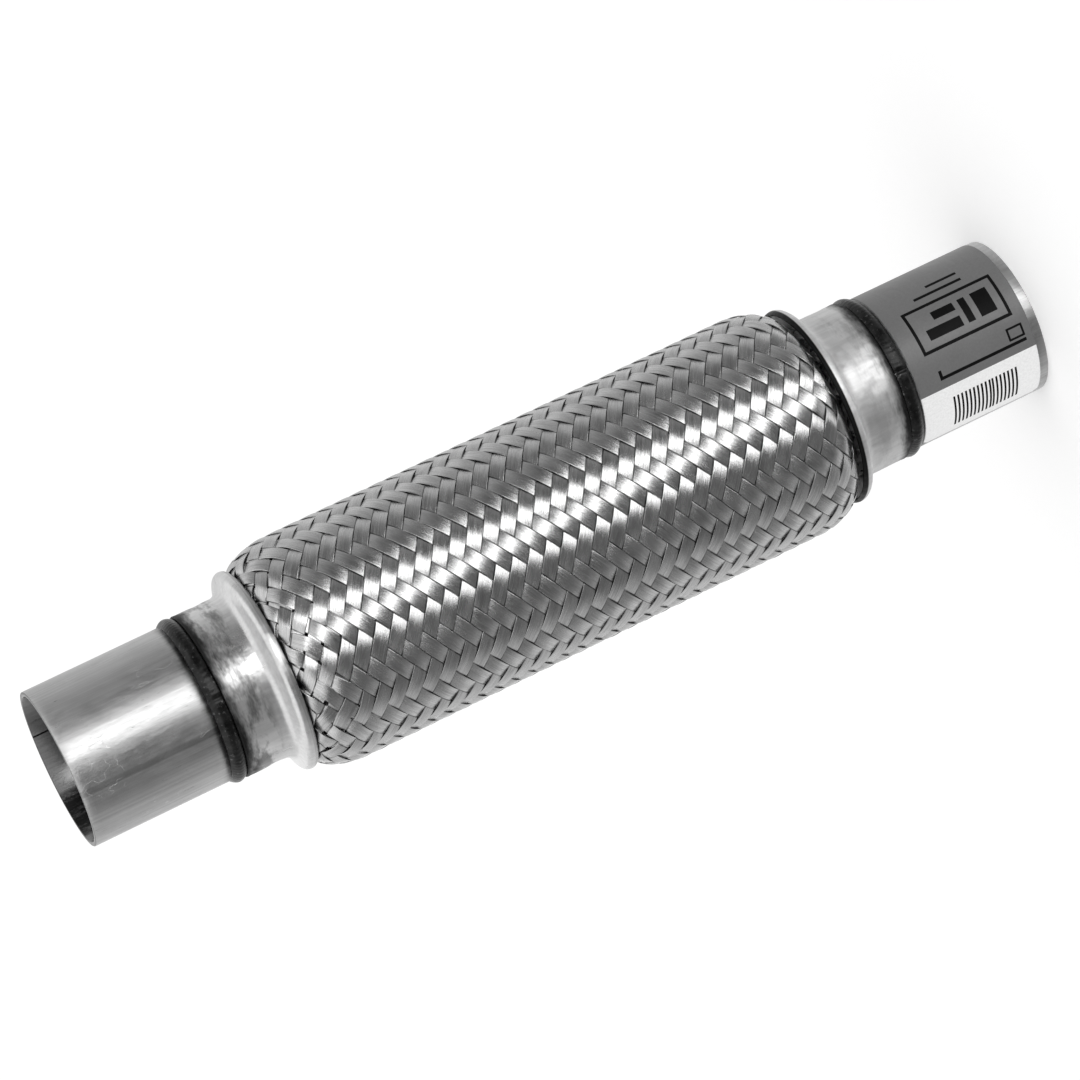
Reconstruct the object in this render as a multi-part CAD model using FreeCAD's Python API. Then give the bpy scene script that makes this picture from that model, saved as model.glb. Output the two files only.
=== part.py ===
"""Exhaust flex pipe: a braided, bellows-sealed joint between two plain tube nipples.

All sizes are in millimetres. The pipe stands on its outlet end: +Z runs along its axis
towards the inlet, and the origin is the centre of the outlet's rim.
"""
import FreeCAD, Part
import math
import os

V = FreeCAD.Vector

# The whole pipe
overall_length = 330.2
nipple_length = 50.0         # from the rim to the cut faces of the clamped layers

# Tube nipples
pipe_od = 50.8
pipe_wall = 1.5
seam_width = 0.8             # scarfed weld seam inside the tube
seam_depth = 0.2
inlet_seam_angle = 60.0
outlet_seam_angle = 130.0

# Layers that the collar clamps, each one on the one inside it
layer_gap = 0.02
liner_setback = 0.3          # of the liner's inner face from the nipples' bore
liner_cuff_wall = 0.28
ply_wall = 0.24
neck_wall = 0.6              # braid pressed flat inside the collar
collar_sheet = 1.0

# Collar with its bell-mouthed lip
collar_length = 19.1         # from the cut face to the plane of the lip's crest
collar_edge_round = 0.7
lip_height = 6.2             # of the crest over the cylindrical part
flare_angle = 70.0
flare_fillet = 3.2           # on the outside, where the cylinder turns into the flare
lip_round = 2.2              # on the outside, over the crest
lip_curl = 40.0              # degrees that the edge turns past the crest

# Ring weld over the end of the nipple
weld_width = 5.0
weld_crown = 1.45            # height over the nipple
weld_bite = 0.5              # height of its face against the collar
weld_root = 0.3              # depth to which it is fused into the nipple

# Outer braid
braid_radius = 36.75
braid_wall = 1.15
shoulder_reach = 15.5        # half axis of the elliptical shoulder along the pipe
shoulder_offset = 17.0       # from the lip's crest to where the shoulder ends
neck_bend = 2.58             # radius of the inner face's turn into the neck
skirt_foot = 0.5             # from the lip's crest down to where the weave has run out
strips_each_way = 26
strip_pitch = 4.82           # across the strips, on the straight part
weave_angle = -98.26         # of a point at mid length where the corners of four floats meet
groove_depth = 0.5
end_dip = 0.16
strip_edge = 0.13            # share of a strip's width taken by its sloping edge
strip_nose = 0.26            # the same at the two ends of a float

# Bellows, as the line between its two plies
crest_room = 1.35            # from its crests to the braid
root_room = 0.8              # from its roots to the liner
convolution_pitch = 7.0
first_crest = 11.5           # from the lip's crest
swage_start = 2.0            # from the lip's crest to where it leaves the cuff
swage_end = 6.0              # from the lip's crest to where it has reached its roots

# Strip-wound liner
liner_wall = 0.7
liner_step = 0.9             # from the low turns to the high ones
liner_pitch = 5.6
liner_high_turn = 3.1
liner_start = 8.5            # from the lip's crest

# Paper label on the outlet nipple
label_thickness = 0.1
label_glue = 0.03
label_low = 3.0              # from the rim to its lower edge
label_gap = 0.4              # from its upper edge to the weld
label_from_angle = -168.0
label_sweep_angle = 178.0

# Sizes that follow from the ones above
pipe_radius = pipe_od / 2
pipe_bore_radius = pipe_radius - pipe_wall
middle = overall_length / 2
crest_plane = nipple_length + collar_length
liner_radius = pipe_bore_radius + liner_setback
liner_cuff_radius = liner_radius + liner_cuff_wall
inner_ply_radius = liner_cuff_radius + layer_gap
outer_ply_radius = inner_ply_radius + ply_wall + layer_gap
neck_inner_radius = outer_ply_radius + ply_wall + layer_gap
neck_radius = neck_inner_radius + neck_wall
collar_inner_radius = neck_radius + layer_gap
collar_radius = collar_inner_radius + collar_sheet
lip_crest_radius = collar_radius + lip_height
weld_foot = nipple_length - weld_width
weld_root_radius = pipe_radius - weld_root
shoulder_drop = braid_radius - neck_inner_radius - neck_bend
cuff_line_radius = outer_ply_radius - layer_gap / 2
crest_radius = braid_radius - braid_wall - crest_room
root_radius = liner_radius + liner_wall + liner_step + root_room
label_height = weld_foot - label_gap - label_low
coincident = 1e-6


def point(radius, height):
    """A point of a profile, in the plane of the axis."""
    return V(radius, 0, height)


def line(start, end):
    return Part.makeLine(point(*start), point(*end))


def arc(centre, radius, from_angle, to_angle):
    """Part of a circle; angle 0 points away from the axis and 90 up along it."""
    ends = []
    for angle in (from_angle, (from_angle + to_angle) / 2, to_angle):
        turn = math.radians(angle)
        ends.append(point(centre[0] + radius * math.cos(turn), centre[1] + radius * math.sin(turn)))
    return Part.Arc(*ends).toShape()


def joined(edges):
    """The edges in order, with a straight line across each gap."""
    chain = [edges[0]]
    for edge in edges[1:]:
        end = chain[-1].valueAt(chain[-1].LastParameter)
        start = edge.valueAt(edge.FirstParameter)
        if end.distanceToPoint(start) > coincident:
            chain.append(Part.makeLine(end, start))
        chain.append(edge)
    return chain


def outline(*edges):
    """Closed wire through the edges in order, with a straight line across each gap."""
    there_and_back = joined(list(edges) + [edges[0]])
    return Part.Wire(there_and_back[:-1])


def turned(wire):
    """Solid of revolution about the pipe's axis."""
    return Part.Face(wire).revolve(V(0, 0, 0), V(0, 0, 1), 360)


def at_inlet(shape):
    """The same piece at the other end of the pipe."""
    return shape.mirror(V(0, 0, middle), V(0, 0, 1))


def nipple(seam_angle):
    """Outlet nipple: a tube with the line of its seam inside and a turned seat for the weld."""
    tube = Part.makeCylinder(pipe_radius, weld_foot)
    tube = tube.fuse(Part.makeCylinder(weld_root_radius, nipple_length))
    tube = tube.cut(Part.makeCylinder(pipe_bore_radius, nipple_length))
    groove = Part.makeBox(pipe_radius, seam_width, nipple_length, V(0, -seam_width / 2, 0))
    groove = groove.common(Part.makeCylinder(pipe_bore_radius + seam_depth, nipple_length))
    groove.rotate(V(0, 0, 0), V(0, 0, 1), seam_angle)
    return tube.cut(groove).removeSplitter()


def collar():
    """Outlet collar: sheet that follows the clamped layers and flares out to a curled lip."""
    tilt = math.radians(flare_angle)
    crest_centre = (lip_crest_radius - lip_round, crest_plane)
    rise = lip_crest_radius - collar_radius - (flare_fillet + lip_round) * (1 - math.cos(tilt))
    run = rise / math.tan(tilt)
    flare_low = crest_plane - (flare_fillet + lip_round) * math.sin(tilt) - run
    fillet_centre = (collar_radius + flare_fillet, flare_low)
    edge_centre = (collar_radius - collar_edge_round, nipple_length + collar_edge_round)
    inner_fillet = flare_fillet + collar_sheet
    inner_round = lip_round - collar_sheet
    return turned(outline(
        line((collar_inner_radius, nipple_length), (edge_centre[0], nipple_length)),
        arc(edge_centre, collar_edge_round, -90, 0),
        arc(fillet_centre, flare_fillet, 180, 180 - flare_angle),
        arc(crest_centre, lip_round, -flare_angle, lip_curl),
        arc(crest_centre, inner_round, lip_curl, -flare_angle),
        arc(fillet_centre, inner_fillet, 180 - flare_angle, 180)))


def weld():
    """Outlet weld: a rounded ring over the end of the nipple, up against the collar."""
    foot = point(pipe_radius, weld_foot)
    crown = point(pipe_radius + weld_crown, weld_foot + weld_width / 2)
    face = point(pipe_radius + weld_bite, nipple_length)
    seat = line((weld_root_radius, nipple_length), (weld_root_radius, weld_foot))
    return turned(outline(Part.Arc(foot, crown, face).toShape(), seat))


def bellows_line(offset):
    """The bellows' line, moved outwards by offset, as edges from the outlet to the inlet."""
    room = overall_length - 2 * (crest_plane + first_crest)
    pitches = round(room / convolution_pitch)
    pitch = room / pitches
    bend = pitch / 4
    cuff = cuff_line_radius + offset
    reach = swage_end - swage_start
    lift = root_radius - cuff_line_radius
    swage = (reach ** 2 + lift ** 2) / (4 * lift)
    swage_turn = math.degrees(2 * math.atan(lift / reach))
    low_start = crest_plane + swage_start
    low_end = crest_plane + swage_end
    high_start = overall_length - low_end
    high_end = overall_length - low_start
    edges = [
        line((cuff, nipple_length), (cuff, low_start)),
        arc((cuff_line_radius + swage, low_start), swage - offset, 180, 180 - swage_turn),
        arc((root_radius - swage, low_end), swage + offset, -swage_turn, 0)]
    for number in range(pitches + 1):
        height = crest_plane + first_crest + number * pitch
        root_centre = (root_radius + bend, height - pitch / 2)
        next_root_centre = (root_radius + bend, height + pitch / 2)
        edges += [
            arc(root_centre, bend - offset, 180, 90),
            arc((crest_radius - bend, height), bend + offset, -90, 90),
            arc(next_root_centre, bend - offset, 270, 180)]
    edges += [
        arc((root_radius - swage, high_start), swage + offset, 0, swage_turn),
        arc((cuff_line_radius + swage, high_end), swage - offset, 180 + swage_turn, 180),
        line((cuff, high_end), (cuff, overall_length - nipple_length))]
    return edges


def bellows_ply(outside, inside):
    """One ply, between two offsets from the bellows' line."""
    far = joined(bellows_line(outside))
    near = joined(bellows_line(inside))
    low, high = [
        line((cuff_line_radius + outside, height), (cuff_line_radius + inside, height))
        for height in (nipple_length, overall_length - nipple_length)]
    return turned(Part.Wire(far + [high] + near[::-1] + [low]))


def liner():
    """Strip-wound hose as one wall that steps out and in, with a plain cuff at each end."""
    room = overall_length - 2 * (crest_plane + liner_start)
    turns = round(room / liner_pitch)
    pitch = room / turns
    base = crest_plane + liner_start
    ends = (base - pitch / 2, overall_length - base + pitch / 2)
    low = liner_radius
    high = low + liner_step
    outer_half = (liner_high_turn + liner_wall) / 2
    inner_half = (liner_high_turn - liner_wall) / 2
    outside = [
        (liner_cuff_radius, nipple_length), (liner_cuff_radius, ends[0]),
        (low + liner_wall, ends[0])]
    inside = [(low, nipple_length)]
    for number in range(turns + 1):
        height = base + number * pitch
        outside += [
            (low + liner_wall, height - outer_half), (high + liner_wall, height - outer_half),
            (high + liner_wall, height + outer_half), (low + liner_wall, height + outer_half)]
        inside += [
            (low, height - inner_half), (high, height - inner_half),
            (high, height + inner_half), (low, height + inner_half)]
    top = overall_length - nipple_length
    outside += [
        (low + liner_wall, ends[1]), (liner_cuff_radius, ends[1]), (liner_cuff_radius, top)]
    inside.append((low, top))
    loop = outside + inside[::-1]
    loop.append(loop[0])
    return turned(Part.makePolygon([point(*corner) for corner in loop]))


def shoulder(turn, depth):
    """Point on the braid's outlet shoulder, depth under its face; turn 0 is the straight part."""
    across = math.cos(turn) / shoulder_drop
    along = math.sin(turn) / shoulder_reach
    size = math.hypot(across, along)
    radius = braid_radius - shoulder_drop * (1 - math.cos(turn)) - depth * across / size
    height = crest_plane + shoulder_offset - shoulder_reach * math.sin(turn) + depth * along / size
    return radius, height


class Meridian:
    """The braid's face from mid length to the outlet mouth, measured by the strips' twist.

    The strips keep their width, so they turn towards the axis where the tube gets narrower.
    Twist counts crossings: one more for each strip that a strip of the other hand has passed.
    """

    steps = 240

    def __init__(self):
        self.straight = middle - crest_plane - shoulder_offset
        self.rate = self.twist_rate(braid_radius)
        self.turns = [math.pi / 2 * step / self.steps for step in range(self.steps + 1)]
        self.twists = [self.straight * self.rate]
        for before, after in zip(self.turns, self.turns[1:]):
            start = shoulder(before, 0)
            end = shoulder(after, 0)
            step = math.hypot(end[0] - start[0], end[1] - start[1])
            self.twists.append(self.twists[-1] + step * self.twist_rate((start[0] + end[0]) / 2))

    @staticmethod
    def twist_rate(radius):
        """Crossings per millimetre along the face."""
        around = 2 * math.pi * radius
        slope = math.sqrt((around / (strips_each_way * strip_pitch)) ** 2 - 1)
        return strips_each_way * slope / around

    def place(self, twist, depth):
        """Radius and height of the face at a twist, depth under it."""
        size = abs(twist)
        if size <= self.twists[0]:
            radius = braid_radius - depth
            height = middle - size / self.rate
        else:
            step = 1
            while self.twists[step] < size:
                step += 1
            share = (size - self.twists[step - 1]) / (self.twists[step] - self.twists[step - 1])
            turn = self.turns[step - 1] + share * (self.turns[step] - self.turns[step - 1])
            radius, height = shoulder(turn, depth)
        if twist > 0:
            height = overall_length - height
        return radius, height


def braid_vertex(meridian, across_one, across_other, depth):
    """Point of the weave from its place among the strips of the two hands."""
    around = (across_one + across_other) / 2
    twist = (across_other - across_one) / 2
    radius, height = meridian.place(twist, depth)
    turn = math.radians(weave_angle) + around * 2 * math.pi / strips_each_way
    return V(radius * math.cos(turn), radius * math.sin(turn), height)


def float_facets(vertex):
    """The visible stretch of one strip, over two others, as a crowned pad in a V groove.

    vertex(side, along, depth) gives a point with side from 0 to 1 and along from 0 to 2.
    """
    ring = [vertex(side, along, groove_depth) for side, along in
            ((0, 0), (0, 1), (0, 2), (1, 2), (1, 1), (1, 0))]
    left = vertex(strip_edge, 1, 0)
    right = vertex(1 - strip_edge, 1, 0)
    nose = vertex(0.5, strip_nose, end_dip)
    tail = vertex(0.5, 2 - strip_nose, end_dip)
    return [
        (ring[5], ring[0], nose), (ring[0], left, nose), (ring[0], ring[1], left),
        (ring[1], ring[2], left), (ring[2], tail, left), (ring[2], ring[3], tail),
        (ring[3], right, tail), (ring[3], ring[4], right), (ring[4], ring[5], right),
        (ring[5], nose, right), (left, right, nose), (left, tail, right)]


def weave_facets(meridian, rows):
    """All floats of the herringbone, over two and under two."""
    facets = []
    for column in range(strips_each_way // 2):
        for row in range(-rows, rows):
            one = 2 * column - row
            other = 2 * column + row
            facets += float_facets(lambda side, along, depth: braid_vertex(
                meridian, one + side, other + along, depth))
        for row in range(1 - rows, rows + 1):
            one = 2 * column + 1 - row
            other = 2 * column + 1 + row
            facets += float_facets(lambda side, along, depth: braid_vertex(
                meridian, one + along, other + side, depth))
    return facets


def skirt_facets(meridian, rows, end):
    """Close the weave's zigzag end with a skirt down to the neck, and the neck down to its cut."""
    neck_height = crest_plane - skirt_foot
    cut_height = nipple_length
    if end > 0:
        neck_height = overall_length - neck_height
        cut_height = overall_length - cut_height
    corners = []
    for step in range(2 * strips_each_way):
        zigzag = math.sin(math.pi * step / 2) / 2
        around = step / 2
        twist = end * rows - zigzag
        rim = braid_vertex(meridian, around - twist, around + twist, groove_depth)
        flat = V(rim.x, rim.y, 0).normalize() * neck_radius
        corners.append((rim, V(flat.x, flat.y, neck_height), V(flat.x, flat.y, cut_height)))
    facets = []
    for before, after in zip(corners, corners[1:] + corners[:1]):
        facets.append((before[0], after[0], after[1]))
        facets.append((before[0], after[1], before[1]))
        facets.append((before[1], after[1], after[2], before[2]))
    return facets, [corner[2] for corner in corners]


def flat_face(corners):
    return Part.Face(Part.makePolygon(list(corners) + [corners[0]]))


def cut_face(ring):
    """Ring-shaped cut of the neck, inside a ring of corners."""
    bore = Part.Face(Part.Wire(Part.makeCircle(neck_inner_radius, V(0, 0, ring[0].z))))
    return flat_face(ring).cut(bore).Faces[0]


def braid_lining():
    """Smooth inner face of the braid."""
    drop = shoulder_drop - braid_wall
    reach = shoulder_reach - braid_wall
    centre = point(braid_radius - shoulder_drop, crest_plane + shoulder_offset)
    top = point(centre.x + drop, centre.z)
    side = point(centre.x, centre.z - reach)
    turn_centre = (centre.x, side.z - neck_bend)
    ellipse = Part.Ellipse(side, top, centre)
    half = [
        line((neck_inner_radius, nipple_length), (neck_inner_radius, turn_centre[1])),
        arc(turn_centre, neck_bend, 180, 90),
        Part.ArcOfEllipse(ellipse, 0, math.pi / 2).toShape()]
    tube = line((top.x, top.z), (top.x, overall_length - top.z))
    edges = half + [tube] + [at_inlet(edge) for edge in half]
    return [edge.revolve(V(0, 0, 0), V(0, 0, 1), 360).Faces[0] for edge in edges]


def braid():
    """Woven tube as one wall: every float is a ridge, and the necks lie in the collars."""
    meridian = Meridian()
    rows = int(meridian.twists[-1] - 0.5)
    faces = [flat_face(facet) for facet in weave_facets(meridian, rows)]
    for end in (-1, 1):
        facets, ring = skirt_facets(meridian, rows, end)
        faces += [flat_face(facet) for facet in facets]
        faces.append(cut_face(ring))
    shell = Part.makeShell(faces + braid_lining())
    shell.sewShape()
    return Part.makeSolid(shell)


def label():
    """Label on the outlet nipple."""
    inside = pipe_radius + label_glue
    sheet = Part.makeCylinder(inside + label_thickness, label_height, V(0, 0, label_low),
                              V(0, 0, 1), label_sweep_angle)
    sheet = sheet.cut(Part.makeCylinder(inside, overall_length))
    sheet.rotate(V(0, 0, 0), V(0, 0, 1), label_from_angle)
    return sheet


def main():
    pieces = {
        "outlet_pipe": nipple(outlet_seam_angle),
        "inlet_pipe": at_inlet(nipple(inlet_seam_angle)),
        "outlet_collar": collar(),
        "inlet_collar": at_inlet(collar()),
        "outlet_weld": weld(),
        "inlet_weld": at_inlet(weld()),
        "bellows_outer_ply": bellows_ply(layer_gap / 2 + ply_wall, layer_gap / 2),
        "bellows_inner_ply": bellows_ply(-layer_gap / 2, -layer_gap / 2 - ply_wall),
        "liner": liner(),
        "label": label(),
        "outer_braid": braid(),
    }
    os.makedirs("parts", exist_ok=True)
    for name, shape in pieces.items():
        shape.exportStep(f"parts/{name}.step")
        print(name, shape.ShapeType, "valid", shape.isValid(), "solids", len(shape.Solids),
              "volume %.1f" % shape.Volume, "faces", len(shape.Faces))


main()
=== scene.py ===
"""Looks of the exhaust flex pipe: woven steel strips, satin tube, dark welds and a paper label.

Shapes are worked out in millimetres, as in the part's source, and stored in metres.
"""
import math
import random

import bmesh
import bpy
import numpy as np
from mathutils import Matrix, Vector, noise


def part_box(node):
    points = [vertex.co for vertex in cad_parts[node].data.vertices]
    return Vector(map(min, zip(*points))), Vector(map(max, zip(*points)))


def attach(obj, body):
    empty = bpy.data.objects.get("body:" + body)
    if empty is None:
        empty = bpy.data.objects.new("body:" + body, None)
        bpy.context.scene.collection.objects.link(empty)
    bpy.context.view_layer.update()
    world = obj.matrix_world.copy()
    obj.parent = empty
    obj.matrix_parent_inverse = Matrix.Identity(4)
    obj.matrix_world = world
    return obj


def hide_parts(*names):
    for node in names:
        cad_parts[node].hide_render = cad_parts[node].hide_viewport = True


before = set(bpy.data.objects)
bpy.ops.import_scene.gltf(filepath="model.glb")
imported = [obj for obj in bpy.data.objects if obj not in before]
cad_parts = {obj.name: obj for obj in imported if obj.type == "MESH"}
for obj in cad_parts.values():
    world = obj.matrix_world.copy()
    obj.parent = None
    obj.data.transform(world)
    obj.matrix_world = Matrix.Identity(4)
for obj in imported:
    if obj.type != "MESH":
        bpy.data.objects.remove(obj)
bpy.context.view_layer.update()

MM = 0.001
BODY = "root"
SEED = 7

# Sizes read from the frame
overall_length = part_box("inlet_pipe")[1].z / MM
pipe_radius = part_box("outlet_pipe")[1].x / MM
nipple_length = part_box("outlet_pipe")[1].z / MM
middle = overall_length / 2

# Sizes repeated from the part's source
pipe_wall = 1.5
neck_radius = 25.62
collar_sheet = 1.0
collar_length = 19.1
collar_edge_round = 0.7
lip_height = 6.2
flare_angle = 70.0
flare_fillet = 3.2
lip_round = 2.2
lip_curl = 40.0
weld_width = 5.0
weld_crown = 1.45
weld_bite = 0.5
weld_root = 0.3
braid_radius = 36.75
shoulder_reach = 15.5
shoulder_offset = 17.0
neck_bend = 2.58
neck_wall = 0.6
strips_each_way = 26
strip_pitch = 4.82
weave_angle = -98.26
label_low = 3.0
label_gap = 0.4
label_from_angle = -168.0
label_sweep_angle = 178.0
label_thickness = 0.1
label_glue = 0.03
crest_plane = nipple_length + collar_length
collar_inner_radius = neck_radius + 0.02
collar_radius = collar_inner_radius + collar_sheet
lip_crest_radius = collar_radius + lip_height
shoulder_drop = braid_radius - (neck_radius - neck_wall) - neck_bend
weld_foot = nipple_length - weld_width
label_height = weld_foot - label_gap - label_low

# Marks and finish of the ends; pairs are for the outlet and the inlet, spreads are a half width and
# a softness in radians
seam_angles = (130.0, 60.0)  # of the weld seams inside the nipples
seam_spread = (0.006, 0.012)
grime_angle = 131.0          # of the burnt patch in the inlet nipple
grime_spread = (0.34, 0.14)
dark_band_angle = -113.0        # of a dark band painted along the inlet nipple's outside, a painted reflection of the dim studio
dark_band_spread = (0.015, 0.05)
closing_angle = -93.0        # where each ring weld was closed
weld_ripples = 95            # round each ring weld
cap_stains = (0.25, 0.85)    # strength of the smudges on the collars
cap_gloss = (0.4, 0.24)      # lowest roughness of the collars
lip_shades = (0.012, 0.5)    # level of the painted shade on the collars behind their lips
cap_marks = 16               # dents on each collar
end_seeds = (3.0, 11.0)      # of the marks and waves

# Studio: angles in degrees round the pipe, levels where 1 is white, sizes in metres
strip_azimuth = 14.0         # of the strip light, from the camera's side towards +X
strip_half_width = 5.0       # of both strips of light
strip_softness = 12.0
strip_level = 3.2
front_level = 0.16           # of the screen's dim front
back_level = 0.76            # of its paler back
rim_azimuth = 188.0          # of the fainter strip behind the pipe
rim_level = 0.35
screen_radius = 1.2          # of the screen round the pipe
screen_low = -4.0
screen_high = 1.0
screen_dim = -0.7            # where the glow towards the back begins, as a share of the radius
screen_pale = 0.95           # where it is full
daylight = 0.95              # even level of the room
floor_size = 30.0            # from the middle to an edge
floor_colour = 0.95
floor_glow = 0.17            # lifts the floor to white round the pipe's shadow

# Camera, in degrees, millimetres of lens and metres
camera_tilt = 13.7
camera_roll = 25.6
camera_lens = 153.5
camera_sensor = 36.0
camera_distance = 1.407
camera_aim = (-0.0004, 0.0, 0.16685)

# Print on the label; a box is (from, to) round the pipe and (from, to) along it, from the corner
label_cell = 0.35
label_corner = 2.5
white_band = 22.25           # width of the white stock, round the pipe
bars_box = (4.5, 18.0, 8.0, 31.5)
bar_width = 0.7
frame_box = (34.0, 49.5, 4.0, 35.5)
frame_line = 1.0
small_box = (26.5, 31.0, 2.5, 8.0)
small_line = 0.75
block_boxes = (
    (37.5, 46.0, 7.5, 13.0), (37.5, 46.0, 15.0, 17.5),
    (37.5, 41.0, 19.5, 31.5), (43.0, 46.0, 19.5, 27.0),
)
line_boxes = (
    (25.0, 26.0, 2.5, 33.5), (25.0, 28.0, 32.5, 33.5),
    (52.0, 53.0, 12.0, 29.0), (55.0, 56.0, 12.0, 23.0),
)

# Strips of the weave
strip_thickness = 0.3
strip_cover = 0.975          # share of the pitch that a strip fills
strip_crown = 0.04
float_rise = 0.46            # of a float's middle over its ends
float_sag = 0.2              # the same under another strip
float_arch = 0.58            # further rise of a float that only its shading shows
inlet_lean = 1.2             # how far the loose inlet end leans towards its collar
samples_each = 4             # of a strip between two crossings
neck_reach = 6.0             # how far the strips run on into the collar
strip_edge = 0.03            # width of the rounding at each edge, as a share of the pitch
crown_steps = 3              # of the section from its middle to an edge
strip_sway = 0.02            # sideways wander, as a share of the pitch
strip_tilt = 0.14            # lean across its width
strip_sink = 0.03            # least depth below the braid's face
sink_change = 0.05           # further depth, which wanders
loose_sway = 0.34            # more of the same at the loose inlet end, and the width lost there
loose_tilt = 0.6
loose_sink = 0.1
loose_narrowing = 0.16
loose_lead = 1.4             # crossings to a pitch of straight length before it begins to loosen
loose_run = 4.0              # crossings from there until it is fully loose


def mesh_piece(name, vertices, faces, material, uvs=None):
    """A smooth-shaded piece on the pipe's body, from vertices in millimetres."""
    mesh = bpy.data.meshes.new(name)
    mesh.from_pydata([tuple(c * MM for c in vertex) for vertex in vertices], [], faces)
    mesh.polygons.foreach_set("use_smooth", [True] * len(mesh.polygons))
    if uvs is not None:
        layer = mesh.uv_layers.new(name="along")
        corners = np.empty(len(mesh.loops), np.int32)
        mesh.loops.foreach_get("vertex_index", corners)
        layer.data.foreach_set("uv", np.asarray(uvs, np.float32)[corners].ravel())
    mesh.materials.append(material)
    piece = bpy.data.objects.new(name, mesh)
    bpy.context.scene.collection.objects.link(piece)
    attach(piece, BODY)
    return piece


def arc_points(centre, radius, from_angle, to_angle, steps):
    """Points of an arc in the plane of the axis; angle 0 points away from the axis, 90 along it."""
    points = []
    for step in range(steps + 1):
        turn = math.radians(from_angle + (to_angle - from_angle) * step / steps)
        points.append((centre[0] + radius * math.cos(turn), centre[1] + radius * math.sin(turn)))
    return points


def lathe(name, profile, segments, material, shape=None, inlet=False):
    """Closed ring with a profile of (radius, height) corners; shape moves single points."""
    vertices = []
    faces = []
    count = len(profile)
    for step in range(segments):
        turn = 2 * math.pi * step / segments
        for radius, height in profile:
            if shape:
                radius, height = shape(turn, radius, height)
            if inlet:
                height = overall_length - height
            vertices.append((radius * math.cos(turn), radius * math.sin(turn), height))
    for step in range(segments):
        here = step * count
        there = (step + 1) % segments * count
        for corner in range(count):
            after = (corner + 1) % count
            quad = (here + corner, there + corner, there + after, here + after)
            faces.append(quad if inlet else quad[::-1])
    return mesh_piece(name, vertices, faces, material)


def node_tree(name):
    """An empty procedural material and its node tree."""
    material = bpy.data.materials.new(name)
    material.use_nodes = True
    tree = material.node_tree
    tree.nodes.clear()
    output = tree.nodes.new("ShaderNodeOutputMaterial")
    shader = tree.nodes.new("ShaderNodeBsdfPrincipled")
    tree.links.new(shader.outputs["BSDF"], output.inputs["Surface"])
    return material, tree, shader


def add(tree, kind, inputs=None, **settings):
    """A node with its settings and its inputs; an input may be a value or another node's socket."""
    node = tree.nodes.new(kind)
    for key, value in settings.items():
        setattr(node, key, value)
    for key, value in (inputs or {}).items():
        if isinstance(value, bpy.types.NodeSocket):
            tree.links.new(value, node.inputs[key])
        else:
            node.inputs[key].default_value = value
    return node


def ramp(tree, factor, *stops):
    """A grey ramp through (position, level) stops."""
    node = add(tree, "ShaderNodeValToRGB", {"Fac": factor})
    elements = node.color_ramp.elements
    while len(elements) < len(stops):
        elements.new(0.5)
    for element, (position, level) in zip(elements, stops):
        element.position = position
        element.color = (level, level, level, 1.0)
    return node.outputs["Color"]


def stretched_noise(tree, scale, detail=4.0, source="Object", roughness=0.6):
    """Noise stretched by a scale along each axis of the object."""
    place = add(tree, "ShaderNodeTexCoord")
    mapping = add(tree, "ShaderNodeMapping", {"Vector": place.outputs[source], "Scale": scale})
    texture = add(tree, "ShaderNodeTexNoise", {
        "Vector": mapping.outputs["Vector"], "Scale": 1.0,
        "Detail": detail, "Roughness": roughness})
    return texture.outputs["Fac"]


def blend_colour(tree, factor, first, second, kind="MIX"):
    """Two colours mixed or multiplied by a factor."""
    node = add(tree, "ShaderNodeMixRGB", {"Fac": factor, "Color1": first, "Color2": second},
               blend_type=kind)
    return node.outputs["Color"]


def add_bump(tree, shader, height, distance, strength=1.0, normal=None):
    """Bump of a height in metres on the shader, over an earlier bump's normal if one is given."""
    inputs = {"Height": height, "Distance": distance, "Strength": strength}
    if normal is not None:
        inputs["Normal"] = normal
    node = add(tree, "ShaderNodeBump", inputs)
    tree.links.new(node.outputs["Normal"], shader.inputs["Normal"])
    return node.outputs["Normal"]


def mapped(tree, value, from_min, from_max, to_min, to_max):
    """A value moved smoothly from one range into another."""
    node = add(tree, "ShaderNodeMapRange", {
        "Value": value, "From Min": from_min, "From Max": from_max,
        "To Min": to_min, "To Max": to_max}, interpolation_type="SMOOTHSTEP")
    return node.outputs["Result"]


def math_node(tree, operation, *values):
    """Result of one Math node on values or sockets."""
    node = add(tree, "ShaderNodeMath", dict(enumerate(values)), operation=operation)
    return node.outputs[0]


def bump_curve(tree, value, centre, half_width, softness):
    """1 within half_width of centre, falling to 0 over softness on either side."""
    away = math_node(tree, "ABSOLUTE", math_node(tree, "SUBTRACT", value, centre))
    return mapped(tree, away, half_width, half_width + softness, 1.0, 0.0)


def rim_distance(tree):
    """Millimetres along the axis from the nearer rim."""
    place = add(tree, "ShaderNodeTexCoord")
    split = add(tree, "ShaderNodeSeparateXYZ", {"Vector": place.outputs["Object"]})
    height = math_node(tree, "DIVIDE", split.outputs["Z"], MM)
    other = math_node(tree, "SUBTRACT", overall_length, height)
    return math_node(tree, "MINIMUM", height, other)


def times(tree, colour, factor):
    """A colour scaled by a grey factor."""
    return blend_colour(tree, 1.0, colour, factor, "MULTIPLY")


def shaded(tree, colour, mask, level):
    """A colour scaled by a level where a mask is 1, and kept where it is 0."""
    return times(tree, colour, mapped(tree, mask, 0.0, 1.0, 1.0, level))


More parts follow.
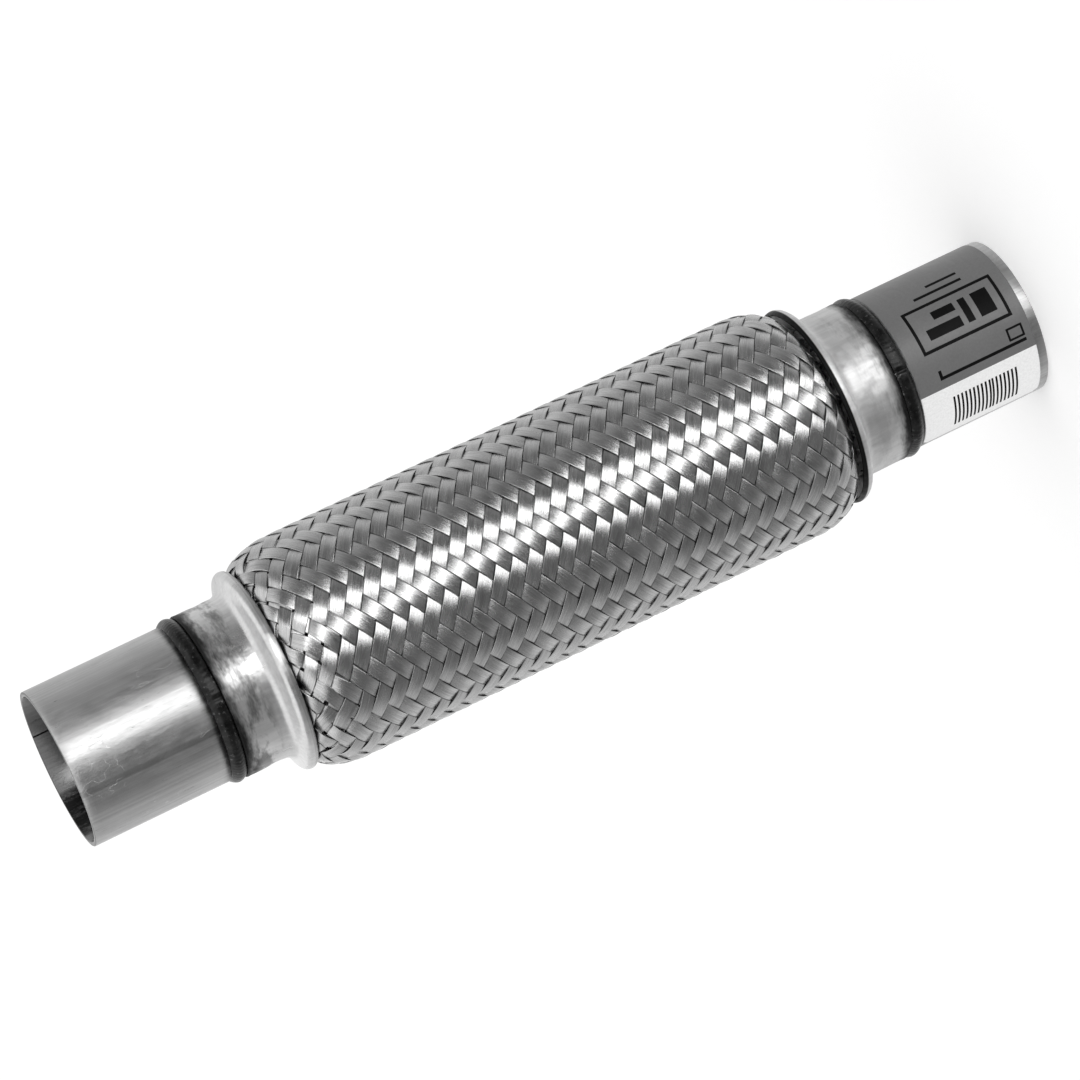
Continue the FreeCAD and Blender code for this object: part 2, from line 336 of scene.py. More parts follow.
def braid_material():
    """Bright rolled strip of fine wires that run along it, with painted shade where it dives and at
    its edges.

    The map counts floats along a strip and strips across, so the fractions place each point.
    """
    material, tree, shader = node_tree("braid_steel")
    place = add(tree, "ShaderNodeTexCoord")
    split = add(tree, "ShaderNodeSeparateXYZ", {"Vector": place.outputs["UV"]})
    to_end = math_node(tree, "PINGPONG", split.outputs["X"], 0.5)
    to_edge = math_node(tree, "PINGPONG", split.outputs["Y"], 0.5)
    wires = stretched_noise(tree, (0.7, 26.0, 1.0), 3.0, "UV")
    fine = stretched_noise(tree, (1.6, 70.0, 1.0), 2.0, "UV")
    patches = stretched_noise(tree, (0.9, 1.3, 1.0), 3.0, "UV")
    tone = blend_colour(tree, 0.5, ramp(tree, wires, (0.35, 0.36), (0.65, 0.74)),
                        ramp(tree, patches, (0.35, 0.42), (0.65, 0.74)))
    # painted shade: the strips go darker where they dive under the next and along their edges, more
    # so in some patches
    gap_shade = mapped(tree, patches, 0.35, 0.65, 0.06, 0.5)
    tone = times(tree, tone, mapped(tree, to_end, 0.0, 0.045, gap_shade, 1.0))
    tone = times(tree, tone, mapped(tree, to_edge, 0.0, 0.035, gap_shade, 1.0))
    tree.links.new(tone, shader.inputs["Base Color"])
    rough = ramp(tree, patches, (0.3, 0.21), (0.7, 0.29))
    tree.links.new(rough, shader.inputs["Roughness"])
    shader.inputs["Metallic"].default_value = 1.0
    from_middle = math_node(tree, "MULTIPLY_ADD", to_end, -2.0, 1.0)
    arch = math_node(tree, "SUBTRACT", 1.0, math_node(tree, "POWER", from_middle, 1.6))
    arched = add_bump(tree, shader, arch, float_arch * MM)
    height = blend_colour(tree, 0.5, wires, fine)
    add_bump(tree, shader, height, 0.00007, 0.7, arched)
    return material


def around_axis(tree):
    """Radius in millimetres and angle in radians of a point about the pipe's axis."""
    place = add(tree, "ShaderNodeTexCoord")
    split = add(tree, "ShaderNodeSeparateXYZ", {"Vector": place.outputs["Object"]})
    flat = add(tree, "ShaderNodeCombineXYZ", {"X": split.outputs["X"], "Y": split.outputs["Y"]})
    length = add(tree, "ShaderNodeVectorMath", {0: flat.outputs[0]}, operation="LENGTH")
    radius = math_node(tree, "DIVIDE", length.outputs["Value"], MM)
    return radius, math_node(tree, "ARCTAN2", split.outputs["Y"], split.outputs["X"])


def hairlines(tree):
    """Fine curved scratches in patches: thin level lines of a smooth noise."""
    swirls = stretched_noise(tree, (260.0, 260.0, 150.0), 1.0)
    fields = stretched_noise(tree, (70.0, 70.0, 55.0), 2.0)
    lines = bump_curve(tree, swirls, 0.5, 0.002, 0.004)
    return math_node(tree, "MULTIPLY", lines, mapped(tree, fields, 0.5, 0.58, 0.0, 1.0))


def nipple_marks(tree, tone, angle, inside, scuffs, seam_angle, grime_and_dark_band):
    """The bore, darkened as painted shade, and its seam, and where the last argument is 1 also a
    burnt patch and a dark band painted along the outside as a painted reflection.
    """
    # painted shade: the bore is darkened to a third
    tone = shaded(tree, tone, inside, 0.3)
    seam = bump_curve(tree, angle, math.radians(seam_angle), *seam_spread)
    seam = math_node(tree, "MULTIPLY", seam, inside)
    tone = shaded(tree, tone, seam, 0.02)
    grime = bump_curve(tree, angle, math.radians(grime_angle), *grime_spread)
    grime = math_node(tree, "MULTIPLY", grime, math_node(tree, "MULTIPLY", inside, grime_and_dark_band))
    grime = math_node(tree, "MULTIPLY", grime, mapped(tree, scuffs, 0.45, 0.65, 1.0, 0.5))
    tone = shaded(tree, tone, grime, 0.12)
    # painted reflection: a dark band along the inlet nipple's outside
    dark_band = bump_curve(tree, angle, math.radians(dark_band_angle), *dark_band_spread)
    dark_band = math_node(tree, "MULTIPLY", dark_band, math_node(tree, "SUBTRACT", grime_and_dark_band, inside))
    return shaded(tree, tone, dark_band, 0.72)


def nipple_material(name, seam_angle, grime_and_dark_band):
    """Satin tube, drawn along its length and scuffed, with painted shade inside and on its cut
    rims, and tinted next to the weld.
    """
    material, tree, shader = node_tree(name)
    streaks = stretched_noise(tree, (1100.0, 1100.0, 14.0), 5.0)
    scuffs = stretched_noise(tree, (420.0, 420.0, 160.0), 6.0, roughness=0.75)
    clouds = stretched_noise(tree, (60.0, 60.0, 22.0), 4.0)
    tone = blend_colour(tree, 0.4, ramp(tree, streaks, (0.3, 0.42), (0.7, 0.68)),
                        ramp(tree, clouds, (0.35, 0.48), (0.65, 0.76)))
    tone = times(tree, tone, ramp(tree, scuffs, (0.28, 0.35), (0.36, 1.0)))
    hairs = hairlines(tree)
    tone = blend_colour(tree, math_node(tree, "MULTIPLY", hairs, 0.4), tone, (0.9, 0.9, 0.9, 1.0))
    from_rim = rim_distance(tree)
    ragged = math_node(tree, "MULTIPLY_ADD", scuffs, 5.0, from_rim)
    tone = times(tree, tone, mapped(tree, ragged, weld_foot - 0.8, weld_foot + 3.6, 1.0, 0.3))
    # painted shade on the cut rims, darkest at the very edge
    tone = times(tree, tone, mapped(tree, from_rim, 0.02, 0.16, 0.3, 1.0))
    radius, angle = around_axis(tree)
    inside = mapped(tree, radius, pipe_radius - 1.2, pipe_radius - 0.6, 1.0, 0.0)
    tone = nipple_marks(tree, tone, angle, inside, scuffs, seam_angle, grime_and_dark_band)
    tree.links.new(tone, shader.inputs["Base Color"])
    rough = blend_colour(tree, 0.5, ramp(tree, clouds, (0.3, 0.3), (0.7, 0.4)),
                         ramp(tree, scuffs, (0.3, 0.6), (0.6, 0.32)))
    rough = blend_colour(tree, inside, rough, (0.24, 0.24, 0.24, 1.0))
    tree.links.new(rough, shader.inputs["Roughness"])
    shader.inputs["Metallic"].default_value = 1.0
    grain = blend_colour(tree, 0.8, streaks, scuffs)
    grained = add_bump(tree, shader, grain, 0.00012, 0.6)
    add_bump(tree, shader, hairs, 0.00006, 0.6, grained)
    return material


def collar_material(name, stained, gloss, lip_shade):
    """Pale pressed cap: cloudy satin, smudged, sooty with painted crevice shade at the weld, and
    painted shade inside its lip.
    """
    material, tree, shader = node_tree(name)
    clouds = stretched_noise(tree, (110.0, 110.0, 70.0), 5.0)
    smudges = stretched_noise(tree, (55.0, 55.0, 160.0), 4.0, roughness=0.7)
    grain = stretched_noise(tree, (700.0, 700.0, 60.0), 4.0)
    tone = blend_colour(tree, 0.5, ramp(tree, clouds, (0.35, 0.62), (0.65, 0.86)),
                        ramp(tree, grain, (0.3, 0.6), (0.7, 0.85)))
    from_rim = rim_distance(tree)
    on_cap = mapped(tree, from_rim, crest_plane - 9.0, crest_plane - 6.0, 1.0, 0.0)
    stain = math_node(tree, "MULTIPLY", on_cap, ramp(tree, smudges, (0.46, 0.0), (0.6, stained)))
    tone = blend_colour(tree, stain, tone, (0.2, 0.2, 0.2, 1.0))
    # soot by the weld, with painted shade in the crevice between the weld and the cap
    ragged = math_node(tree, "MULTIPLY_ADD", smudges, -7.0, from_rim)
    soot_and_crevice_shade = mapped(tree, ragged, nipple_length - 3.0, nipple_length + 1.6, 1.0, 0.0)
    tone = blend_colour(tree, soot_and_crevice_shade, tone, (0.025, 0.025, 0.025, 1.0))
    # painted shade on the lip's back, where it turns towards the braid
    hidden = mapped(tree, from_rim, crest_plane + 0.1, crest_plane + 0.5, 0.0, 1.0)
    tone = blend_colour(tree, hidden, tone, (lip_shade, lip_shade, lip_shade, 1.0))
    tree.links.new(tone, shader.inputs["Base Color"])
    rough = blend_colour(tree, soot_and_crevice_shade, ramp(tree, clouds, (0.3, gloss), (0.7, gloss + 0.16)),
                         (0.55, 0.55, 0.55, 1.0))
    tree.links.new(rough, shader.inputs["Roughness"])
    shader.inputs["Metallic"].default_value = 0.9
    dimples = stretched_noise(tree, (230.0, 230.0, 170.0), 1.0)
    beaten = add_bump(tree, shader, dimples, 0.0011 * gloss, 0.8)
    add_bump(tree, shader, clouds, 0.0006, 0.45, beaten)
    return material


def weld_material():
    """Dark glossy oxide skin over the rippled bead."""
    material, tree, shader = node_tree("weld_metal")
    patches = stretched_noise(tree, (300.0, 300.0, 300.0), 5.0)
    flakes = stretched_noise(tree, (900.0, 900.0, 900.0), 3.0)
    tone = blend_colour(tree, 0.5, ramp(tree, patches, (0.35, 0.02), (0.7, 0.07)),
                        ramp(tree, flakes, (0.6, 0.012), (0.78, 0.3)))
    tree.links.new(tone, shader.inputs["Base Color"])
    tree.links.new(ramp(tree, patches, (0.3, 0.2), (0.7, 0.4)), shader.inputs["Roughness"])
    shader.inputs["Metallic"].default_value = 0.8
    shader.inputs["Specular IOR Level"].default_value = 0.3
    add_bump(tree, shader, blend_colour(tree, 0.15, patches, flakes), 0.00016, 0.4)
    return material


def sheet_material(name, low, high, roughness):
    """Plain rolled sheet for the pieces inside."""
    material, tree, shader = node_tree(name)
    clouds = stretched_noise(tree, (160.0, 160.0, 90.0), 5.0)
    tree.links.new(ramp(tree, clouds, (0.3, low), (0.7, high)), shader.inputs["Base Color"])
    rough = ramp(tree, clouds, (0.3, roughness - 0.06), (0.7, roughness + 0.08))
    tree.links.new(rough, shader.inputs["Roughness"])
    shader.inputs["Metallic"].default_value = 1.0
    add_bump(tree, shader, clouds, 0.00005, 0.5)
    return material


def paper_material(name, level, gloss):
    """Label stock under a thin film: a flat tint with fibres, a few creases and some sheen."""
    material, tree, shader = node_tree(name)
    fibres = stretched_noise(tree, (1500.0, 1500.0, 1500.0), 3.0)
    creases = stretched_noise(tree, (45.0, 45.0, 90.0), 2.0)
    tone = ramp(tree, fibres, (0.3, level * 0.92), (0.7, min(1.0, level * 1.06)))
    fold = math_node(tree, "PINGPONG", creases, 0.07)
    tree.links.new(tone, shader.inputs["Base Color"])
    tree.links.new(ramp(tree, creases, (0.3, 0.3), (0.7, 0.42)), shader.inputs["Roughness"])
    shader.inputs["Specular IOR Level"].default_value = gloss
    soft = add_bump(tree, shader, fold, 0.0025, 0.25)
    add_bump(tree, shader, fibres, 0.00002, 0.4, soft)
    return material


def shoulder(turn):
    """Face of the braid's outlet shoulder; turn 0 is the straight part. Gives place and normal."""
    across = math.cos(turn) / shoulder_drop
    along = -math.sin(turn) / shoulder_reach
    size = math.hypot(across, along)
    radius = braid_radius - shoulder_drop * (1 - math.cos(turn))
    height = crest_plane + shoulder_offset - shoulder_reach * math.sin(turn)
    return radius, height, across / size, along / size


def meridian_points():
    """The braid's face from mid length to the neck, as rows of radius, height and normal."""
    face_steps = 160
    bend_steps = 40
    neck_steps = 10
    rows = [(braid_radius, middle, 1.0, 0.0)]
    rows += [shoulder(math.pi / 2 * step / face_steps) for step in range(face_steps + 1)]
    centre_radius = braid_radius - shoulder_drop
    bend = centre_radius - neck_radius
    centre_height = crest_plane + shoulder_offset - shoulder_reach - bend
    for step in range(1, bend_steps + 1):
        turn = math.pi / 2 * step / bend_steps
        rows.append((centre_radius - bend * math.sin(turn),
                     centre_height + bend * math.cos(turn),
                     math.sin(turn), -math.cos(turn)))
    for step in range(1, neck_steps + 1):
        rows.append((neck_radius, centre_height - neck_reach * step / neck_steps, 1.0, 0.0))
    return np.array(rows)


class Meridian:
    """Places on the braid's face by the strips' twist, counted in crossings from mid length."""

    def __init__(self):
        self.rows = meridian_points()
        steps = np.hypot(*np.diff(self.rows[:, :2], axis=0).T)
        radii = (self.rows[1:, 0] + self.rows[:-1, 0]) / 2
        around = 2 * math.pi * radii
        slopes = np.sqrt((around / (strips_each_way * strip_pitch)) ** 2 - 1)
        rates = strips_each_way * slopes / around
        self.twists = np.concatenate([[0.0], np.cumsum(steps * rates)])
        self.reach = self.twists[-1]

    def place(self, twist, depth):
        """Radius and height at a twist and at a depth below the face; the inlet half leans."""
        size = np.abs(twist)
        radius, height, across, along = (
            np.interp(size, self.twists, self.rows[:, column]) for column in range(4))
        radius = radius - depth * across
        height = height - depth * along
        if twist > 0:
            loose = (crest_plane + shoulder_offset - height) / shoulder_offset
            height = overall_length - height + inlet_lean * min(1.0, max(0.0, loose))
        return radius, height


def strip_samples(first, last):
    """Evenly spaced places along a strip between two counts of crossings."""
    count = int((last - first) * samples_each)
    return np.linspace(first, last, count)


def strip_wave(phase):
    """Height of a strip over the mean face; it is on top from phase 0 to 2, then under to 4."""
    phase = np.mod(phase, 4.0)
    over = float_rise * (1 - (phase - 1) ** 2)
    under = -float_sag * (1 - (phase - 3) ** 2)
    return np.where(phase < 2, over, under)


def strip_section():
    """Outline of a strip as (across, up) pairs: a crowned top, round edges and a flat back."""
    half = 0.5 * strip_cover
    flat = half - strip_edge
    top = []
    for step in range(-crown_steps, crown_steps + 1):
        share = math.sin(math.pi / 2 * math.sin(math.pi / 2 * step / crown_steps))
        across = share * flat
        top.append((across, strip_thickness / 2 + strip_crown * (1 - (across / half) ** 2)))
    back = [(flat, -strip_thickness / 2), (-flat, -strip_thickness / 2)]
    return top + [(half, 0.0)] + back + [(-half, 0.0)]


def looseness(twist):
    """How far the weave has come loose: 0 on the tube and 1 at the inlet collar."""
    straight = middle - crest_plane - shoulder_offset
    turns = straight * strips_each_way / (2 * math.pi * braid_radius)
    return min(1.0, max(0.0, (twist - turns * loose_lead) / loose_run))


def strip_faces(first, samples, count, rising, faces):
    """Add the sides and the two end caps of one strip, whose sections have count points each."""
    for step in range(samples - 1):
        here = first + step * count
        for corner in range(count):
            after = (corner + 1) % count
            quad = (here + corner, here + after, here + count + after, here + count + corner)
            faces.append(quad if rising else quad[::-1])
    last = first + (samples - 1) * count
    cap = tuple(range(first, first + count))
    end = tuple(range(last, last + count))
    faces.append(cap[::-1] if rising else cap)
    faces.append(end if rising else end[::-1])


def strip_mesh(meridian, number, rising, vertices, faces, uvs):
    """Add one strip of the weave, from inside one collar to inside the other."""
    section = strip_section()
    centre = number + 0.5
    samples = strip_samples(centre - 2 * meridian.reach, centre + 2 * meridian.reach)
    phases = samples + number if rising else samples + number - 2
    heights = strip_wave(phases)
    jitter = random.Random(SEED * 1000 + number * 2 + rising)
    own = jitter.uniform(0, 100)
    mean_depth = strip_thickness / 2 + float_rise + strip_crown
    first = len(vertices)
    for place, phase, lift in zip(samples, phases, heights):
        passed = phase / 2
        twist = (place - centre) / 2 if rising else (centre - place) / 2
        loose = looseness(twist)
        sway = strip_sway * noise.noise(Vector((passed * 0.6, own, 1.5)))
        sway += loose_sway * loose * noise.noise(Vector((passed * 1.1, own, 7.5)))
        tilt = noise.noise(Vector((math.floor(passed) * 0.73, own, 3.1)))
        tilt *= strip_tilt + loose_tilt * loose
        sink = sink_change * (1 + noise.noise(Vector((passed * 0.9, own, 5.2))))
        sink += strip_sink + loose_sink * loose
        width = 1 - loose_narrowing * loose
        for across, up in section:
            across *= width
            mine = centre + across + sway
            around = (mine + place) / 2
            half_turn = (place - mine) / 2 if rising else (mine - place) / 2
            depth = mean_depth - lift - up - tilt * across + sink
            radius, height = meridian.place(half_turn, max(0.0, depth))
            turn = math.radians(weave_angle) + around * 2 * math.pi / strips_each_way
            vertices.append((radius * math.cos(turn), radius * math.sin(turn), float(height)))
            uvs.append((passed, number + 0.5 + across / strip_cover))
    strip_faces(first, len(samples), len(section), rising, faces)


def make_braid(material):
    """Two hands of strips, woven over two and under two."""
    meridian = Meridian()
    pieces = []
    for rising, name in ((True, "braid_strips_rising"), (False, "braid_strips_falling")):
        vertices = []
        faces = []
        uvs = []
        for number in range(strips_each_way):
            strip_mesh(meridian, number, rising, vertices, faces, uvs)
        pieces.append(mesh_piece(name, vertices, faces, material, uvs))
    for piece in pieces:
        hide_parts("outer_braid")


def collar_profile():
    """Section of the collar's sheet, as in the part's source."""
    tilt = math.radians(flare_angle)
    crest_centre = (lip_crest_radius - lip_round, crest_plane)
    rise = lip_crest_radius - collar_radius - (flare_fillet + lip_round) * (1 - math.cos(tilt))
    run = rise / math.tan(tilt)
    flare_low = crest_plane - (flare_fillet + lip_round) * math.sin(tilt) - run
    fillet_centre = (collar_radius + flare_fillet, flare_low)
    edge_centre = (collar_radius - collar_edge_round, nipple_length + collar_edge_round)
    inner_fillet = flare_fillet + collar_sheet
    inner_round = lip_round - collar_sheet
    edge_mid = lip_round - collar_sheet / 2
    curl = math.radians(lip_curl)
    nose = (crest_centre[0] + edge_mid * math.cos(curl),
            crest_centre[1] + edge_mid * math.sin(curl))
    points = [(collar_inner_radius, nipple_length)]
    points += arc_points(edge_centre, collar_edge_round, -90, 0, 6)
    low = nipple_length + collar_edge_round
    points += [(collar_radius, low + (flare_low - low) * step / 14) for step in range(1, 14)]
    points += arc_points(fillet_centre, flare_fillet, 180, 180 - flare_angle, 10)
    points += arc_points(crest_centre, lip_round, -flare_angle, lip_curl - 8, 12)
    points += arc_points(nose, collar_sheet / 2, lip_curl, lip_curl + 180, 6)[1:-1]
    points += arc_points(crest_centre, inner_round, lip_curl - 8, -flare_angle, 8)
    points += arc_points(fillet_centre, inner_fillet, 180 - flare_angle, 180, 8)
    return points


def collar_shape(seed):
    """Press marks, dents and waves of the cap: the marks on its cylinder, the waves on its lip."""
    chance = random.Random(seed)
    marks = [(chance.uniform(-math.pi, math.pi), chance.uniform(3.5, 10.0),
              chance.uniform(1.0, 2.2), chance.uniform(0.2, 0.45)) for mark in range(cap_marks)]

    def shape(turn, radius, height):
        place = Vector((math.cos(turn), math.sin(turn), seed))
        rim = min(1.0, max(0.0, (height - crest_plane + 6.0) / 6.0))
        radius += 0.14 * noise.noise(place * 1.7) * rim
        height += 0.3 * noise.noise(place * 1.3 + Vector((5, 5, 5))) * rim
        face = min(1.0, max(0.0, (radius - collar_inner_radius) / collar_sheet))
        body = face * min(1.0, max(0.0, (height - nipple_length) / 1.5))
        for angle, along, size, depth in marks:
            aside = math.remainder(turn - angle, 2 * math.pi) * collar_radius
            ahead = height - nipple_length - along
            radius -= body * depth * math.exp(-(aside / (1.5 * size)) ** 2 - (ahead / size) ** 2)
        around = noise.noise(place * 3.1 + Vector((0, 0, height * 0.12)))
        radius -= body * 0.1 * (1 + around)
        return radius, height
    return shape


def nipple_profile():
    """Section of a tube nipple with its cut edges barely rounded."""
    bore = pipe_radius - pipe_wall
    break_edge = 0.15
    points = [(bore, break_edge), (bore + break_edge, 0.0), (pipe_radius - break_edge, 0.0),
              (pipe_radius, break_edge)]
    points += [(pipe_radius, weld_foot * step / 12) for step in range(1, 13)]
    seat = pipe_radius - weld_root
    points += [(seat, weld_foot), (seat, nipple_length), (bore, nipple_length)]
    return points


def weld_profile():
    """Section of the ring weld: an arc from the nipple over the crown to the collar's face."""
    seat = pipe_radius - weld_root
    points = [(seat, nipple_length), (seat, weld_foot), (pipe_radius, weld_foot)]
    steps = 14
    for step in range(1, steps + 1):
        share = step / steps
        bulge = (weld_crown - weld_bite / 2) * math.sin(math.pi * share)
        points.append((pipe_radius + weld_bite * share + bulge,
                       nipple_length - weld_width * (1 - share)))
    return points


def weld_shape(seed):
    """Bead of uneven width with faint ripples, and the step where the ring was closed."""
    def shape(turn, radius, height):
        over = radius - pipe_radius
        if over < 0.05:
            return radius, height
        place = Vector((math.cos(turn), math.sin(turn), seed))
        wave = noise.noise(place * 2.5)
        centre = (height - nipple_length + weld_width / 2) / (weld_width / 2)
        ripple = math.sin(turn * weld_ripples + 2.4 * (1 - centre ** 2) + wave * 6)
        closing = math.remainder(turn - math.radians(closing_angle), 2 * math.pi)
        notch = math.exp(-(closing / 0.03) ** 2)
        overlap = 0.5 * (1 + math.tanh(closing / 0.02)) * math.exp(-abs(closing) / 0.5)
        scale = min(1.0, over / 0.8)
        radius += scale * (0.16 * wave + 0.02 * ripple - 0.5 * notch + 0.18 * overlap)
        height -= 0.25 * wave * (1 - abs(centre)) * scale
        return radius, height
    return shape


def make_ends():
    """Nipple, weld and collar at each end."""
    skin = weld_material()
    for inlet, side in ((False, "outlet"), (True, "inlet")):
        seed = end_seeds[inlet]
        tube = nipple_material(f"{side}_nipple_steel", seam_angles[inlet], float(inlet))
        cap = collar_material(f"{side}_collar_steel", cap_stains[inlet], cap_gloss[inlet],
                              lip_shades[inlet])
        nipple = lathe(f"{side}_nipple", nipple_profile(), 256, tube, inlet=inlet)
        collar = lathe(f"{side}_cap", collar_profile(), 480, cap,
                       collar_shape(seed), inlet)
        bead = lathe(f"{side}_bead", weld_profile(), 720, skin,
                     weld_shape(seed), inlet)
        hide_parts(f"{side}_pipe")
        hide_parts(f"{side}_collar")
        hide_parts(f"{side}_weld")


def label_ink(along, up):
    """Which stock covers a place on the label, from plain shapes: 0 grey, 1 white, 2 black.

    along runs round the pipe and up along it, both in millimetres from the label's corner.
    """
    def within(left, right, low, high):
        return left <= along < right and low <= up < high

    def outlined(box, width):
        left, right, low, high = box
        return within(*box) and not within(left + width, right - width, low + width, high - width)

    if along < white_band:
        bars = within(*bars_box) and int((up - bars_box[2]) / bar_width) % 2 == 0
        return 2 if bars else 1
    if outlined(frame_box, frame_line) or outlined(small_box, small_line):
        return 2
    return 2 if any(within(*box) for box in block_boxes + line_boxes) else 0


def outside_corner(along, up, length, height, corner):
    """Whether a place lies outside the label's rounded corners."""
    aside = max(corner - along, along - (length - corner), 0.0)
    ahead = max(corner - up, up - (height - corner), 0.0)
    return math.hypot(aside, ahead) > corner


def make_label(stocks):
    """Paper label bent round the outlet nipple, as cells of three stocks."""
    radius = pipe_radius + label_glue + label_thickness
    length = math.radians(label_sweep_angle) * radius
    columns = int(length / label_cell)
    rows = int(label_height / label_cell)
    vertices = []
    for column in range(columns + 1):
        turn = math.radians(label_from_angle + label_sweep_angle * column / columns)
        for row in range(rows + 1):
            vertices.append((radius * math.cos(turn), radius * math.sin(turn),
                             label_low + label_height * row / rows))
    faces = []
    inks = []
    for column in range(columns):
        for row in range(rows):
            along = (column + 0.5) * length / columns
            up = (row + 0.5) * label_height / rows
            if outside_corner(along, up, length, label_height, label_corner):
                continue
            here = column * (rows + 1) + row
            faces.append((here, here + rows + 1, here + rows + 2, here + 1))
            inks.append(label_ink(along, up))
    piece = mesh_piece("paper_label", vertices, faces, stocks[0])
    for stock in stocks[1:]:
        piece.data.materials.append(stock)
    piece.data.polygons.foreach_set("material_index", inks)
    shell = bmesh.new()
    shell.from_mesh(piece.data)
    loose = [vertex for vertex in shell.verts if not vertex.link_faces]
    bmesh.ops.delete(shell, geom=loose, context="VERTS")
    bmesh.ops.solidify(shell, geom=shell.faces[:], thickness=label_thickness * MM)
    shell.to_mesh(piece.data)
    shell.free()
    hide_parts("label")


def studio_piece(name, vertices, faces, material, unseen_by):
    """Studio gear in metres that casts no shadow and gives no diffuse light."""
    mesh = bpy.data.meshes.new(name)
    mesh.from_pydata(vertices, [], faces)
    mesh.materials.append(material)
    gear = bpy.data.objects.new(name, mesh)
    bpy.context.scene.collection.objects.link(gear)
    for rays in ("diffuse", "shadow", unseen_by):
        setattr(gear, f"visible_{rays}", False)
    return gear


def make_floor():
    """Pale floor that only the camera sees, with the pipe's shadow on it."""
    material, tree, shader = node_tree("floor_white")
    shader.inputs["Base Color"].default_value = (floor_colour, floor_colour, floor_colour, 1)
    shader.inputs["Roughness"].default_value = 0.9
    shader.inputs["Specular IOR Level"].default_value = 0.0
    output = next(node for node in tree.nodes if node.type == "OUTPUT_MATERIAL")
    glow = add(tree, "ShaderNodeEmission", {"Color": (1, 1, 1, 1), "Strength": floor_glow})
    both = add(tree, "ShaderNodeAddShader", {0: shader.outputs["BSDF"], 1: glow.outputs[0]})
    tree.links.new(both.outputs[0], output.inputs["Surface"])
    size = floor_size
    corners = [(-size, -size, 0), (size, -size, 0), (size, size, 0), (-size, size, 0)]
    floor = studio_piece("floor", corners, [(0, 1, 2, 3)], material, "glossy")


def screen_material():
    """Glow of the screen: a dim front, a paler back and two strips of light."""
    material = bpy.data.materials.new("screen_light")
    material.use_nodes = True
    tree = material.node_tree
    tree.nodes.clear()
    output = add(tree, "ShaderNodeOutputMaterial")
    place = add(tree, "ShaderNodeTexCoord")
    split = add(tree, "ShaderNodeSeparateXYZ", {"Vector": place.outputs["Object"]})
    front = math_node(tree, "MULTIPLY", split.outputs["Y"], -1.0)
    azimuth = math_node(tree, "ARCTAN2", split.outputs["X"], front)
    strip = bump_curve(tree, azimuth, math.radians(strip_azimuth),
                       math.radians(strip_half_width), math.radians(strip_softness))
    behind = math_node(tree, "FRACT", math_node(tree, "DIVIDE", azimuth, 2 * math.pi))
    rim = bump_curve(tree, behind, rim_azimuth / 360, strip_half_width / 360, strip_softness / 360)
    room = mapped(tree, split.outputs["Y"], screen_dim * screen_radius, screen_pale * screen_radius,
                  front_level, back_level)
    level = math_node(tree, "MULTIPLY_ADD", strip, strip_level, room)
    level = math_node(tree, "MULTIPLY_ADD", rim, rim_level, level)
    glow = add(tree, "ShaderNodeEmission", {"Color": (1, 1, 1, 1), "Strength": level})
    tree.links.new(glow.outputs[0], output.inputs["Surface"])
    return material


def make_screen():
    """Screen that only glossy rays see; it hides the white background from most of the metal."""
    segments = 96
    vertices = []
    faces = []
    for step in range(segments):
        turn = 2 * math.pi * step / segments
        x = screen_radius * math.cos(turn)
        y = screen_radius * math.sin(turn)
        vertices += [(x, y, screen_low), (x, y, screen_high)]
        here = 2 * step
        there = 2 * ((step + 1) % segments)
        faces.append((here, here + 1, there + 1, there))
    screen = studio_piece("screen", vertices, faces, screen_material(), "camera")


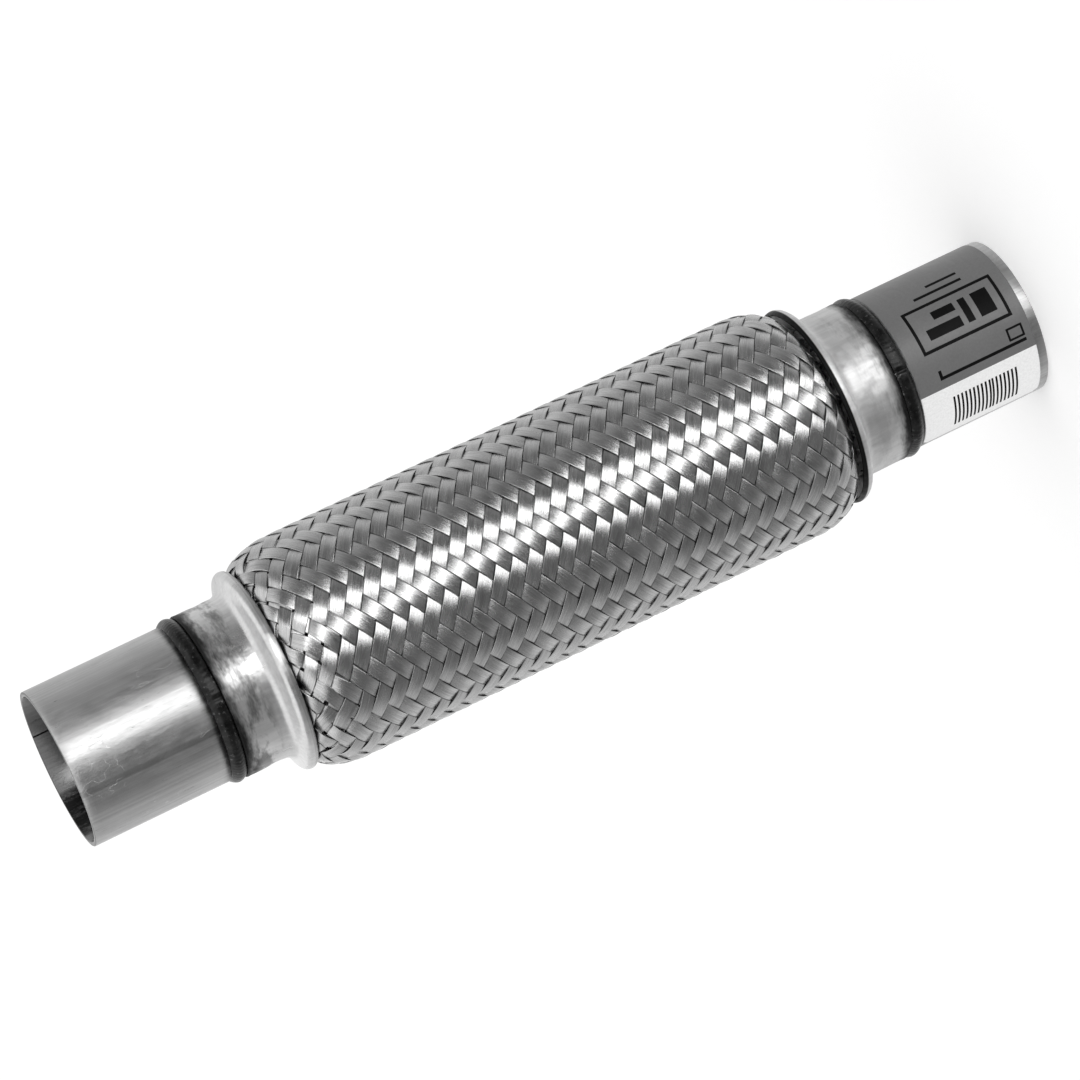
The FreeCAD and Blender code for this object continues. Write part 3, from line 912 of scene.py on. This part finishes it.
def make_world():
    """Plain even daylight, and a white background for camera, glossy and transmission rays.

    The screen stands in front of it, so metal mirrors the white only from high up and far below.
    """
    world = bpy.data.worlds.new("studio")
    bpy.context.scene.world = world
    world.use_nodes = True
    tree = world.node_tree
    tree.nodes.clear()
    output = add(tree, "ShaderNodeOutputWorld")
    plain = add(tree, "ShaderNodeBackground", {"Color": (1, 1, 1, 1), "Strength": daylight})
    white = add(tree, "ShaderNodeBackground", {"Color": (1, 1, 1, 1), "Strength": 1.0})
    paths = add(tree, "ShaderNodeLightPath")
    seen = paths.outputs["Is Camera Ray"]
    for rays in ("Is Glossy Ray", "Is Transmission Ray"):
        seen = math_node(tree, "MAXIMUM", seen, paths.outputs[rays])
    mix = add(tree, "ShaderNodeMixShader", {"Fac": seen, 1: plain.outputs[0], 2: white.outputs[0]})
    tree.links.new(mix.outputs[0], output.inputs["Surface"])


def make_camera():
    """The photograph's view: from above the middle, with the pipe's axis rising to the right."""
    tilt = math.radians(camera_tilt)
    roll = math.radians(camera_roll)
    looking = Vector((0, math.cos(tilt), -math.sin(tilt)))
    along = Vector((0, -math.sin(tilt), -math.cos(tilt)))
    side = Vector((1, 0, 0))
    right = along * math.cos(roll) - side * math.sin(roll)
    up = along * math.sin(roll) + side * math.cos(roll)
    data = bpy.data.cameras.new("camera")
    data.lens = camera_lens
    data.sensor_width = camera_sensor
    camera = bpy.data.objects.new("camera", data)
    bpy.context.scene.collection.objects.link(camera)
    turn = Matrix((right, up, -looking)).transposed()
    place = Vector(camera_aim) - looking * camera_distance
    camera.matrix_world = Matrix.Translation(place) @ turn.to_4x4()
    bpy.context.scene.camera = camera


def finish_hidden_nodes():
    """Materials of the pieces inside, which stay as the frame has them."""
    bellows = sheet_material("bellows_steel", 0.4, 0.55, 0.3)
    finishes = {
        "liner": sheet_material("liner_steel", 0.2, 0.36, 0.42),
        "bellows_outer_ply": bellows,
        "bellows_inner_ply": bellows,
    }
    for name, material in finishes.items():
        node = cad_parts[name]
        node.data.materials.clear()
        node.data.materials.append(material)


def main():
    bpy.context.scene.view_settings.view_transform = "Standard"
    make_camera()
    make_world()
    make_screen()
    make_floor()
    make_braid(braid_material())
    make_ends()
    make_label([paper_material("label_grey", 0.15, 0.4), paper_material("label_white", 0.88, 0.4),
                paper_material("label_black", 0.006, 0.05)])
    finish_hidden_nodes()


main()
